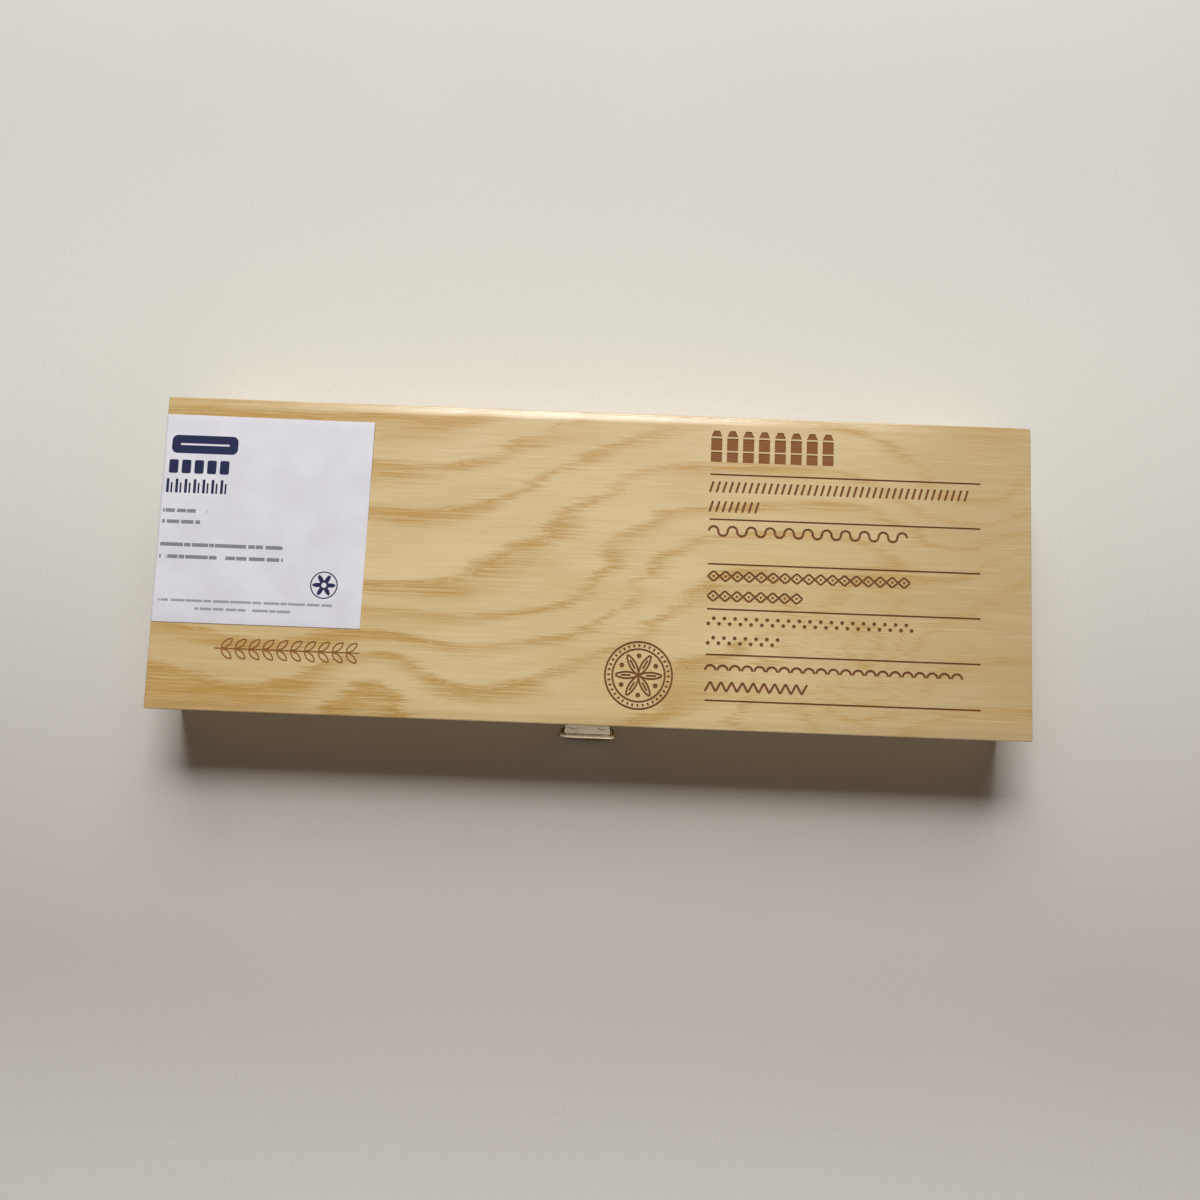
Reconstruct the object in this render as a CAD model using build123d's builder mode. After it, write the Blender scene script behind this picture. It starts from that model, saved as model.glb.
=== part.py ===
"""A wooden case for one row of fifteen soft pastel sticks.

A tray and a lid of finger-jointed boards, each closed by a plywood panel, meet at a narrow split line.
Two butt hinges join them at the back. At the front an over-centre draw latch holds them shut: a lever
on the tray carries a wire loop, and its bar lies on the ledge of a catch plate on the lid. Inside, a
slotted foam sheet on a plain one beds the sticks, and a foam pad in the lid holds them down.

Millimetres. X runs along the case, -Y is the front with the latch, +Z is up.
The origin is the centre of the underside.
"""

import os
from math import hypot

from build123d import *

# Case: outer size, boards and panels
case_length = 280.0
case_depth = 101.0
board = 7.0
bottom_thickness = 3.5
tray_board_height = 15.5
split_gap = 0.3
lid_board_height = 8.7
top_thickness = 4.0
corner_radius = 1.5
top_edge_radius = 0.9
rim_chamfer = 0.4
tray_finger_count = 5
lid_finger_count = 3

# Foam: sheets laid in the tray, and the pad glued in the lid
foam_clearance = 0.3
foam_base_thickness = 5.0
foam_grid_thickness = 9.0
foam_pad_thickness = 7.0
slot_width = 13.0
slot_length = 72.0
slot_rib = 4.3

# Hinges on the back, with plain holes for their screws
hinge_inset = 52.0
hinge_length = 25.0
leaf_height = 9.0
leaf_thickness = 0.8
leaf_corner_radius = 1.2
barrel_radius = 1.6
barrel_standoff = 0.15
knuckle_gap = 0.2
hinge_pin_radius = 0.8
screw_spread = 16.0
screw_drop = 5.6
screw_hole_radius = 0.95

# Draw latch in the middle of the front, with plain holes for its nails
latch_sheet = 0.8
base_width = 13.6
base_top_drop = 1.2
base_foot_rise = 3.8
plate_corner_radius = 1.0
ear_thickness = 0.7
ear_root = 4.6
pivot_drop = 6.4
pivot_out = 3.2
pivot_boss_radius = 1.2
pivot_pin_radius = 0.6
loop_pivot_in = 1.45
loop_pivot_drop = 4.2
cheek_thickness = 0.7
side_play = 0.2
web_out = 0.9
web_clearance = 0.25
tab_rise = 2.2
tab_height = 2.8
tab_flare = 0.9
tab_bend_radius = 3.0
tab_corner_radius = 2.2
wire_radius = 0.7
wire_stub = 0.4
loop_side_play = 0.4
loop_top_bend = 2.0
loop_foot_bend = 1.0
bar_out = 3.5
bar_play = 0.4
catch_side_gap = 0.8
catch_top_drop = 0.4
ledge_rise = 2.9
ledge_margin = 0.5
sheet_bend_radius = 0.3
nail_hole_radius = 0.65
base_nail_spread = 9.2
catch_nail_spread = 9.0
nail_margin = 1.8

# Blank paper slip, folded over the left edge of the lid
label_width = 67.5
label_depth = 67.5
label_from_rear = 5.9
label_flap = 9.0
paper_thickness = 0.2
paper_gap = 0.02

# Fits
running_clearance = 0.05
seat_clearance = 0.02

# Heights worked out from the sizes above
tray_base_z = bottom_thickness
tray_rim_z = tray_base_z + tray_board_height
lid_rim_z = tray_rim_z + split_gap
lid_top_z = lid_rim_z + lid_board_height
case_height = lid_top_z + top_thickness
split_z = (tray_rim_z + lid_rim_z) / 2
front_y = -case_depth / 2
rear_y = case_depth / 2
inner_length = case_length - 2 * board
inner_depth = case_depth - 2 * board


def save(piece, name):
    """Labels a finished sub-part and writes it under its name."""
    piece.part.label = name
    export_step(piece.part, f"parts/{name}.step")


# ---------------------------------------------------------------- boards and panels


def case_envelope(low_z, high_z, rim_selector):
    """The rounded outside that boards between two heights are trimmed to, eased along the split line."""
    with BuildPart() as envelope:
        with BuildSketch(Plane.XY.offset(low_z)):
            RectangleRounded(case_length, case_depth, corner_radius)
        extrude(amount=high_z - low_z)
        chamfer(rim_selector(envelope.faces()).edges(), rim_chamfer)
    return envelope


def finger_places(low_z, height, count, first, reach):
    """Centres of the corner blocks that a board leaves to its neighbours: every second finger."""
    finger = height / count
    across, along = reach
    return [
        (side_x * across, side_y * along, low_z + (number + 0.5) * finger)
        for number in range(first, count, 2)
        for side_x in (-1, 1)
        for side_y in (-1, 1)
    ]


def jointed_board(long_side, side, low_z, height, count, envelope):
    """One board of a frame: long sides run along X and keep the first finger, ends run along Y."""
    corner = (case_length / 2 - board / 2, case_depth / 2 - board / 2)
    with BuildPart() as piece:
        with BuildSketch(Plane.XY.offset(low_z)):
            if long_side:
                with Locations((0, side * corner[1])):
                    Rectangle(case_length, board)
            else:
                with Locations((side * corner[0], 0)):
                    Rectangle(board, case_depth)
        extrude(amount=height)
        with Locations(*finger_places(low_z, height, count, 1 if long_side else 0, corner)):
            Box(board, board, height / count, mode=Mode.SUBTRACT)
        add(envelope.part, mode=Mode.INTERSECT)
    return piece


tray_envelope = case_envelope(tray_base_z, tray_rim_z, lambda faces: faces.sort_by(Axis.Z)[-1])
lid_envelope = case_envelope(lid_rim_z, lid_top_z, lambda faces: faces.sort_by(Axis.Z)[0])

frame_sides = {"front": (True, -1), "rear": (True, 1), "left": (False, -1), "right": (False, 1)}
boards = {}
for name, (long_side, side) in frame_sides.items():
    boards[f"tray_{name}_board"] = jointed_board(
        long_side,
        side,
        tray_base_z,
        tray_board_height,
        tray_finger_count,
        tray_envelope,
    )
    boards[f"lid_{name}_board"] = jointed_board(
        long_side,
        side,
        lid_rim_z,
        lid_board_height,
        lid_finger_count,
        lid_envelope,
    )

with BuildPart() as bottom_panel:
    with BuildSketch():
        RectangleRounded(case_length, case_depth, corner_radius)
    extrude(amount=bottom_thickness)
    chamfer(bottom_panel.faces().sort_by(Axis.Z)[0].edges(), rim_chamfer)

with BuildPart() as top_panel:
    with BuildSketch(Plane.XY.offset(lid_top_z)):
        RectangleRounded(case_length, case_depth, corner_radius)
    extrude(amount=top_thickness)
    fillet(top_panel.faces().sort_by(Axis.Z)[-1].edges(), top_edge_radius)

# ---------------------------------------------------------------- foam

foam_length = inner_length - 2 * foam_clearance
foam_depth = inner_depth - 2 * foam_clearance
foam_grid_z = tray_base_z + foam_base_thickness
slot_pitch = slot_width + slot_rib
slot_count = int((foam_length - slot_rib) // slot_pitch)


def foam_sheet(low_z, thickness):
    """A plain sheet of foam that fits between the boards."""
    with BuildPart() as sheet:
        with BuildSketch(Plane.XY.offset(low_z)):
            Rectangle(foam_length, foam_depth)
        extrude(amount=thickness)
    return sheet


foam_base = foam_sheet(tray_base_z, foam_base_thickness)
foam_pad = foam_sheet(lid_top_z - foam_pad_thickness, foam_pad_thickness)

with BuildPart() as foam_grid:
    with BuildSketch(Plane.XY.offset(foam_grid_z)):
        Rectangle(foam_length, foam_depth)
        with GridLocations(slot_pitch, 0, slot_count, 1):
            Rectangle(slot_width, slot_length, mode=Mode.SUBTRACT)
    extrude(amount=foam_grid_thickness)

# ---------------------------------------------------------------- hinges

back = Plane(origin=(0, rear_y, 0), x_dir=(-1, 0, 0), z_dir=(0, 1, 0))
hinge_centres = (hinge_inset - case_length / 2, case_length / 2 - hinge_inset)
hinge_axis_y = rear_y + barrel_standoff + barrel_radius
knuckle_length = (hinge_length - 2 * knuckle_gap) / 3


def hinge_leaf(centre_x, side, own_knuckles):
    """A leaf below (side -1) or above (side 1) the pin, with its own ones of the three knuckles."""
    knuckle_starts = [
        centre_x - hinge_length / 2 + number * (knuckle_length + knuckle_gap) for number in range(3)
    ]
    with BuildPart() as leaf:
        with BuildSketch(back):
            with Locations((-centre_x, split_z + side * leaf_height / 2)):
                Rectangle(hinge_length, leaf_height)
        extrude(amount=leaf_thickness)
        outer_edges = leaf.edges().filter_by(Axis.Y).group_by(Axis.Z)[0 if side < 0 else -1]
        fillet(outer_edges, leaf_corner_radius)
        for number, start in enumerate(knuckle_starts):
            own = number in own_knuckles
            with BuildSketch(Plane.YZ.offset(start if own else start - knuckle_gap)):
                with Locations((hinge_axis_y, split_z)):
                    Circle(barrel_radius if own else barrel_radius + knuckle_gap)
            extrude(
                amount=knuckle_length if own else knuckle_length + 2 * knuckle_gap,
                mode=Mode.ADD if own else Mode.SUBTRACT,
            )
        with BuildSketch(Plane.YZ.offset(centre_x)):
            with Locations((hinge_axis_y, split_z)):
                Circle(hinge_pin_radius + (seat_clearance if side < 0 else running_clearance))
        extrude(amount=hinge_length, both=True, mode=Mode.SUBTRACT)
        with BuildSketch(back):
            with Locations((-centre_x, split_z + side * screw_drop)):
                with GridLocations(screw_spread, 0, 2, 1):
                    Circle(screw_hole_radius)
        extrude(amount=leaf_thickness, mode=Mode.SUBTRACT)
    return leaf


hinge_parts = {}
for name, centre_x in zip(("left", "right"), hinge_centres):
    hinge_parts[f"hinge_{name}_tray_leaf"] = hinge_leaf(centre_x, -1, (0, 2))
    hinge_parts[f"hinge_{name}_lid_leaf"] = hinge_leaf(centre_x, 1, (1,))
    with BuildPart() as pin:
        with BuildSketch(Plane.YZ.offset(centre_x - hinge_length / 2)):
            with Locations((hinge_axis_y, split_z)):
                Circle(hinge_pin_radius)
        extrude(amount=hinge_length)
    hinge_parts[f"hinge_{name}_pin"] = pin

# ---------------------------------------------------------------- draw latch

# A plane for side profiles of the latch: local x points out of the front, local y points up
latch_side = Plane(origin=(0, front_y, 0), x_dir=(0, -1, 0), z_dir=(-1, 0, 0))
front = Plane(origin=(0, front_y, 0), x_dir=(1, 0, 0), z_dir=(0, -1, 0))

base_top_z = tray_rim_z - base_top_drop
ledge_z = lid_rim_z + ledge_rise
catch_top_z = lid_top_z - catch_top_drop
pivot = (pivot_out, tray_rim_z - pivot_drop)
loop_pivot = (pivot_out - loop_pivot_in, pivot[1] - loop_pivot_drop)
bar = (bar_out, ledge_z + bar_play + wire_radius)
loop_length = hypot(bar[0] - loop_pivot[0], bar[1] - loop_pivot[1])
cheek_inner_x = base_width / 2 + side_play
cheek_outer_x = cheek_inner_x + cheek_thickness
arm_x = cheek_outer_x + loop_side_play + wire_radius

with BuildPart() as latch_base:
    with BuildSketch(front):
        with Locations((0, (base_foot_rise + base_top_z) / 2)):
            RectangleRounded(base_width, base_top_z - base_foot_rise, plate_corner_radius)
    extrude(amount=latch_sheet)
    for side in (-1, 1):
        ear_centre_x = side * (base_width / 2 - ear_thickness / 2)
        with BuildSketch(Plane(origin=(ear_centre_x, front_y, 0), x_dir=(0, -1, 0), z_dir=(-1, 0, 0))):
            with Locations(pivot):
                Circle(pivot_boss_radius)
            with Locations((latch_sheet / 2, pivot[1])):
                Rectangle(latch_sheet, ear_root)
            make_hull()
        extrude(amount=ear_thickness / 2, both=True)
    with BuildSketch(latch_side):
        with Locations(pivot):
            Circle(pivot_pin_radius + seat_clearance)
    extrude(amount=base_width, both=True, mode=Mode.SUBTRACT)
    with BuildSketch(front):
        with Locations((0, base_top_z - nail_margin)):
            with GridLocations(base_nail_spread, 0, 2, 1):
                Circle(nail_hole_radius)
        with Locations((0, base_foot_rise + nail_margin)):
            Circle(nail_hole_radius)
    extrude(amount=latch_sheet, mode=Mode.SUBTRACT)

with BuildPart() as latch_pivot_pin:
    with BuildSketch(latch_side):
        with Locations(pivot):
            Circle(pivot_pin_radius)
    extrude(amount=cheek_outer_x + side_play / 2, both=True)

web_face_out = pivot_out + web_out
web_foot = (web_face_out, tab_rise + tab_height)
with BuildPart() as latch_lever:
    with BuildSketch(latch_side):
        with BuildLine():
            FilletPolyline(
                (web_face_out, pivot[1] - pivot_boss_radius - web_clearance),
                web_foot,
                (web_face_out + tab_flare, tab_rise),
                radius=tab_bend_radius,
            )
            offset(amount=latch_sheet, side=Side.RIGHT)
        make_face()
    extrude(amount=cheek_outer_x, both=True)
    tab_end = latch_lever.faces().sort_by(Axis.Z)[0]
    fillet(tab_end.edges().filter_by(Axis.X, reverse=True), tab_corner_radius)
    for side in (-1, 1):
        cheek_centre_x = side * (cheek_inner_x + cheek_thickness / 2)
        with BuildSketch(Plane(origin=(cheek_centre_x, front_y, 0), x_dir=(0, -1, 0), z_dir=(-1, 0, 0))):
            with Locations(pivot, loop_pivot):
                Circle(pivot_boss_radius)
            with Locations((web_face_out - latch_sheet / 2, web_foot[1])):
                Circle(latch_sheet / 2)
            make_hull()
        extrude(amount=cheek_thickness / 2, both=True)
    with BuildSketch(latch_side):
        with Locations(pivot):
            Circle(pivot_pin_radius + running_clearance)
        with Locations(loop_pivot):
            Circle(wire_radius + running_clearance)
    extrude(amount=base_width, both=True, mode=Mode.SUBTRACT)

# The loop leans out from its pivot to the ledge, so its plane does too: local y runs up its arms
loop_plane = Plane(
    origin=(0, front_y - loop_pivot[0], loop_pivot[1]),
    x_dir=(1, 0, 0),
    z_dir=(0, loop_pivot[1] - bar[1], loop_pivot[0] - bar[0]),
)
with BuildPart() as latch_loop:
    with BuildLine(loop_plane) as loop_path:
        FilletPolyline(
            (wire_stub - cheek_inner_x, 0),
            (-arm_x, 0),
            (-arm_x, loop_length),
            (arm_x, loop_length),
            (arm_x, 0),
            (cheek_inner_x - wire_stub, 0),
            radius=[loop_foot_bend, loop_top_bend, loop_top_bend, loop_foot_bend],
        )
    with BuildSketch(Plane(origin=loop_path.line @ 0, z_dir=loop_path.line % 0)):
        Circle(wire_radius)
    sweep()

with BuildPart() as latch_catch:
    with BuildSketch(latch_side):
        with BuildLine():
            FilletPolyline(
                (latch_sheet, catch_top_z),
                (latch_sheet, ledge_z),
                (bar_out + ledge_margin, ledge_z),
                radius=sheet_bend_radius,
            )
            offset(amount=latch_sheet, side=Side.RIGHT)
        make_face()
    extrude(amount=arm_x - wire_radius - catch_side_gap, both=True)
    fillet(latch_catch.edges().filter_by(Axis.Y).group_by(Axis.Z)[-1], plate_corner_radius)
    with BuildSketch(front):
        with Locations((0, catch_top_z - nail_margin)):
            with GridLocations(catch_nail_spread, 0, 2, 1):
                Circle(nail_hole_radius)
    extrude(amount=latch_sheet, mode=Mode.SUBTRACT)

# ---------------------------------------------------------------- paper slip

label_centre_y = rear_y - label_from_rear - label_depth / 2
with BuildPart() as paper_label:
    with BuildSketch(Plane.XZ.offset(-label_centre_y)):
        with BuildLine():
            FilletPolyline(
                (-case_length / 2 + label_width, case_height + paper_gap),
                (-case_length / 2 - paper_gap, case_height + paper_gap),
                (-case_length / 2 - paper_gap, case_height - label_flap),
                radius=top_edge_radius,
            )
            offset(amount=paper_thickness, side=Side.RIGHT)
        make_face()
    extrude(amount=label_depth / 2, both=True)

# ---------------------------------------------------------------- writing

finished = {
    **boards,
    "bottom_panel": bottom_panel,
    "top_panel": top_panel,
    "foam_base": foam_base,
    "foam_grid": foam_grid,
    "foam_pad": foam_pad,
    **hinge_parts,
    "latch_base": latch_base,
    "latch_pivot_pin": latch_pivot_pin,
    "latch_lever": latch_lever,
    "latch_loop": latch_loop,
    "latch_catch": latch_catch,
    "paper_label": paper_label,
}
os.makedirs("parts", exist_ok=True)
for name, piece in finished.items():
    save(piece, name)
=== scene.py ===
"""A closed wooden case for pastel sticks, dressed for its picture.

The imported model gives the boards, hinges and latch. This script gives them wood, nickel and lacquer, and
adds the lid's panel with its burnt engraving, the printed paper slip, the foam, and the nails and screws.
"""

import math
import random

import bmesh
import bpy
from mathutils import Matrix, Vector


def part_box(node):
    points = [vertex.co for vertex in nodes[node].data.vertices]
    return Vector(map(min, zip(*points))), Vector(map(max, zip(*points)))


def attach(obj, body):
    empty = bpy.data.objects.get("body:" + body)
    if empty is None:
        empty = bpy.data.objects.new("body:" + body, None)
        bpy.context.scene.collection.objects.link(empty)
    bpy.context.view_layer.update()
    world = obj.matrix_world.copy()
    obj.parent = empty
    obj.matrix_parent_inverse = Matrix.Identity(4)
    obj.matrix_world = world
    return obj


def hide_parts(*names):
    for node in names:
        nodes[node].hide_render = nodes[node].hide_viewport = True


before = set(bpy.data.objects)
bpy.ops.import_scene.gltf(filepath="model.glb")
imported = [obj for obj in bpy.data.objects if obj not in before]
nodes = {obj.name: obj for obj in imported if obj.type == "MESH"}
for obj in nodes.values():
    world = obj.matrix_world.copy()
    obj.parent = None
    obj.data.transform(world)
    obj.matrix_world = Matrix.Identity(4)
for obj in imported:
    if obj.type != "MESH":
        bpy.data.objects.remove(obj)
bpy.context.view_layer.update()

MM = 0.001
tiny = 0.01 * MM
scene = bpy.context.scene


# ---------------------------------------------------------------- finishes: numbers and nodes


class Reading:
    """A number or vector that changes over a surface. Arithmetic on it adds Math nodes to its finish."""

    def __init__(self, finish, socket):
        self.finish = finish
        self.socket = socket

    def math(self, operation, *others):
        places = {place: item for place, item in enumerate((self, *others))}
        return self.finish.node("ShaderNodeMath", {"operation": operation}, places)

    def reflected(self, operation, other):
        return self.finish.node("ShaderNodeMath", {"operation": operation}, {0: other, 1: self})

    def __add__(self, other):
        return self.math("ADD", other)

    def __radd__(self, other):
        return self.reflected("ADD", other)

    def __sub__(self, other):
        return self.math("SUBTRACT", other)

    def __rsub__(self, other):
        return self.reflected("SUBTRACT", other)

    def __mul__(self, other):
        return self.math("MULTIPLY", other)

    def __rmul__(self, other):
        return self.reflected("MULTIPLY", other)

    def __truediv__(self, other):
        return self.math("DIVIDE", other)

    def __rtruediv__(self, other):
        return self.reflected("DIVIDE", other)

    def __pow__(self, other):
        return self.math("POWER", other)

    def __neg__(self):
        return self * -1

    def __abs__(self):
        return self.math("ABSOLUTE")

    def least(self, other):
        return self.math("MINIMUM", other)

    def most(self, other):
        return self.math("MAXIMUM", other)

    def rise(self, low, high, to_low=0.0, to_high=1.0):
        """Eases from to_low to to_high while this number goes from low to high."""
        settings = {"interpolation_type": "SMOOTHSTEP"}
        sockets = {0: self, 1: low, 2: high, 3: to_low, 4: to_high}
        return self.finish.node("ShaderNodeMapRange", settings, sockets)


class Finish:
    """One material. Its nodes come from node(), or from arithmetic on the readings that node() gives."""

    def __init__(self, name, **constants):
        self.material = bpy.data.materials.new(name)
        self.material.use_nodes = True
        self.tree = self.material.node_tree
        self.shader = self.tree.nodes["Principled BSDF"]
        for socket, value in constants.items():
            self.shader.inputs[socket.replace("_", " ")].default_value = value

    def node(self, kind, settings=None, inputs=None, output=0):
        """Adds a node, with its settings and then its sockets set, and gives a reading of one output."""
        made = self.tree.nodes.new(kind)
        for name, value in (settings or {}).items():
            setattr(made, name, value)
        for place, value in (inputs or {}).items():
            if isinstance(value, Reading):
                self.tree.links.new(value.socket, made.inputs[place])
            else:
                made.inputs[place].default_value = value
        return Reading(self, made.outputs[output])

    def wire(self, **readings):
        """Links readings to the shader's sockets."""
        for socket, reading in readings.items():
            self.tree.links.new(reading.socket, self.shader.inputs[socket.replace("_", " ")])

    def split(self, vector):
        return [self.node("ShaderNodeSeparateXYZ", None, {0: vector}, output) for output in range(3)]

    def place(self):
        """Where a point of the surface is, as x, y and z in millimetres."""
        point = self.node("ShaderNodeTexCoord", output="Object")
        scaled = self.node("ShaderNodeVectorMath", {"operation": "SCALE"}, {0: point, "Scale": 1 / MM})
        return self.split(scaled)

    def facing(self):
        """Which way the surface faces, as x, y and z."""
        return self.split(self.node("ShaderNodeTexCoord", output="Normal"))

    def vector(self, x=0.0, y=0.0, z=0.0):
        return self.node("ShaderNodeCombineXYZ", None, {0: x, 1: y, 2: z})

    def noise(self, x, y=0.0, z=0.0, detail=2.0, roughness=0.5):
        """Smooth noise round 0.5, with about one hill to each unit."""
        at = self.vector(x, y, z)
        sockets = {"Vector": at, "Scale": 1.0, "Detail": detail, "Roughness": roughness}
        return self.node("ShaderNodeTexNoise", None, sockets)

    def specks(self, x, y, z=0.0):
        """How far a point is from the nearest of many scattered specks, about one to each unit."""
        return self.node("ShaderNodeTexVoronoi", None, {"Vector": self.vector(x, y, z), "Scale": 1.0})

    def mix(self, factor, first, second):
        settings = {"data_type": "RGBA"}
        return self.node("ShaderNodeMix", settings, {0: factor, 6: first, 7: second}, 2)

    def bump(self, height, depth):
        """A Normal from a height, where a height of 1 stands as far off the surface as depth, in metres."""
        return self.node("ShaderNodeBump", None, {"Height": height, "Distance": depth, "Strength": 1.0})


def paint(red, green, blue):
    """Turns a screen colour, each channel from 0 to 255, into the linear one that a shader wants."""
    shares = [channel / 255 for channel in (red, green, blue)]
    return (*[c / 12.92 if c < 0.04045 else ((c + 0.055) / 1.055) ** 2.4 for c in shares], 1.0)


# ---------------------------------------------------------------- wood

panel_low, panel_high = [Vector(corner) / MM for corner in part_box("top_panel")]
panel_length = panel_high.x - panel_low.x
panel_depth = panel_high.y - panel_low.y
ply_thickness = 0.9
engraving_depth = 0.25
faint_depth = 0.13

pale_wood = paint(210, 188, 139)
warm_wood = paint(200, 174, 119)
late_wood = paint(175, 134, 56)
amber_wood = paint(184, 144, 84)
# Painted shade, mixed in towards the lid's right end and rear edge
painted_shade_wood = paint(164, 138, 94)
silky_wood = paint(228, 211, 166)
fleck_wood = paint(228, 206, 156)
end_grain = paint(172, 136, 84)
dark_end_grain = paint(138, 102, 58)
scorched = paint(102, 54, 12)
scorched_pale = paint(148, 96, 40)

# The veneer was peeled round the log, so its rings show as contours. They are spaced evenly back to front,
# climb by a few rings from left to right, and bend round these hills and hollows of the peel: height in
# rings, centre from the panel's rear left corner, and reach along and across, in millimetres.
lid_ring_spacing = 15.0
lid_first_ring = 19.0
lid_slope_start, lid_slope_end, lid_slope_rise = 87, 175, 2.2
lid_hills = (
    (1.3, 72, 90, 20, 17),
    (-0.45, 68, 57, 16, 8),
    (-0.55, 92, 60, 26, 12),
    (-1.0, 134, 62, 22, 18),
    (0.5, 0, 84, 22, 14),
    (0.75, 186, 48, 22, 12),
    (-1.3, 160, 101, 34, 16),
    (0.7, 222, 38, 24, 14),
    (-3.2, 226, 78, 15, 20),
    (-1.6, 262, 20, 26, 26),
    (1.2, 198, 84, 9, 16),
    (1.3, 282, 48, 18, 16),
)


def lid_rings(u, v):
    """Ring number over the lid, counted from the rear edge."""
    rings = 1 + (v - lid_first_ring) / lid_ring_spacing
    rings = rings + u.rise(lid_slope_start, lid_slope_end, 0.0, lid_slope_rise)
    for height, centre_u, centre_v, reach_u, reach_v in lid_hills:
        away = ((u - centre_u) / reach_u) ** 2 + ((v - centre_v) / reach_v) ** 2
        rings = rings + height * (-away).math("EXPONENT")
    return rings


def plain_rings(u, v):
    """Ring number over a panel whose figure nobody chose."""
    broad_swell = u.finish.noise(u / 95, v / 34, 7.0, detail=1.0)
    small_swell = u.finish.noise(u / 30, v / 12, 3.0)
    return v / 11 + 3.2 * broad_swell + 0.9 * small_swell


def flame_figure(finish, u, v, rings_over):
    """How much late wood shows, from 0 to 1, the streaks along the grain, and the fibres among them."""
    # Fibres run along the panel, so each ring's edge is stepped and frayed along them
    stepped = finish.noise(u / 34, v / 6, 13.0, detail=1.0) - 0.5
    frayed = finish.noise(u / 50, v / 0.9, detail=3.0, roughness=0.6) - 0.5
    fine_frayed = finish.noise(u / 20, v / 0.25, 4.0, detail=2.0) - 0.5
    wander = finish.noise(u / 30, v / 14, 9.0, detail=2.0) - 0.5
    frayed_u = u + stepped * 15 + frayed * 18 + fine_frayed * 12
    frayed_v = v + wander * 4 + frayed * 0.7
    turn = rings_over(frayed_u, frayed_v).math("FRACT")
    streaks = finish.noise(u / 34, v / 0.6, 2.0, detail=4.0, roughness=0.7)
    fibres = streaks.rise(0.38, 0.58, 0.2, 1.0)

    # Each band starts sharply at a ring, then fades over a width that changes from place to place
    width = finish.noise(u / 48, v / 18, 31.0, detail=1.0).rise(0.3, 0.7, 0.16, 0.6)
    width = width + u.rise(150, 60) * 0.24
    solid_part = turn.rise(0.0, 0.03) * turn.rise(0.03, 0.12, 0.85, 0.0)
    feathered_part = turn.rise(0.0, 0.03) * turn.rise(0.02, width, 1.0, 0.0) * fibres
    frayed_part = turn.rise(0.9, 1.0) * fibres
    strength = finish.noise(u / 38, v / 9, 15.0, detail=1.0).rise(0.3, 0.62, 0.5, 1.1)
    strength = strength * (u + v * 0.4).rise(40, 300, 1.45, 0.75)
    return solid_part.most(feathered_part).most(frayed_part) * strength, streaks, fibres


def with_edge_plies(finish, x, y, z, low, high, colour):
    """Adds what a panel's sides show: the core between its face plies, and a glue line along each ply."""
    near_side = 0.25
    side = (abs(x) - (panel_length / 2 - near_side)).rise(0, 0.1)
    side = side.most((abs(y) - (panel_depth / 2 - near_side)).rise(0, 0.1))
    over_low_ply = z - (low + ply_thickness)
    under_high_ply = high - ply_thickness - z
    core = side * over_low_ply.rise(0, 0.08) * under_high_ply.rise(0, 0.08)
    core_grain = finish.noise(x / 0.7, y / 0.7, z / 0.5, detail=3.0)
    colour = finish.mix(core, colour, finish.mix(core_grain, end_grain, warm_wood))
    glue = side * (abs(over_low_ply).rise(0.09, 0.02) + abs(under_high_ply).rise(0.09, 0.02))
    return finish.mix(glue * 0.5, colour, late_wood)


def burns(finish, x, y, z, high):
    """Where the engraving has burnt a panel, from 0 to 1, and the colour of the burn."""
    kept_rim, play = 1.3, 0.03
    inside = (panel_length / 2 - kept_rim - abs(x)).rise(0, 0.1)
    inside = inside * (panel_depth / 2 - kept_rim - abs(y)).rise(0, 0.1)
    burn = inside * (z - (high - play)).rise(0, -0.1)
    char = finish.noise(x / 0.6, y / 0.6, 2.0, detail=3.0).rise(0.3, 0.75) * 0.4
    char = char + (z - (high - faint_depth)).rise(-0.12, -0.03, 0.0, 0.4)
    return burn, finish.mix(char, scorched, scorched_pale)


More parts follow.
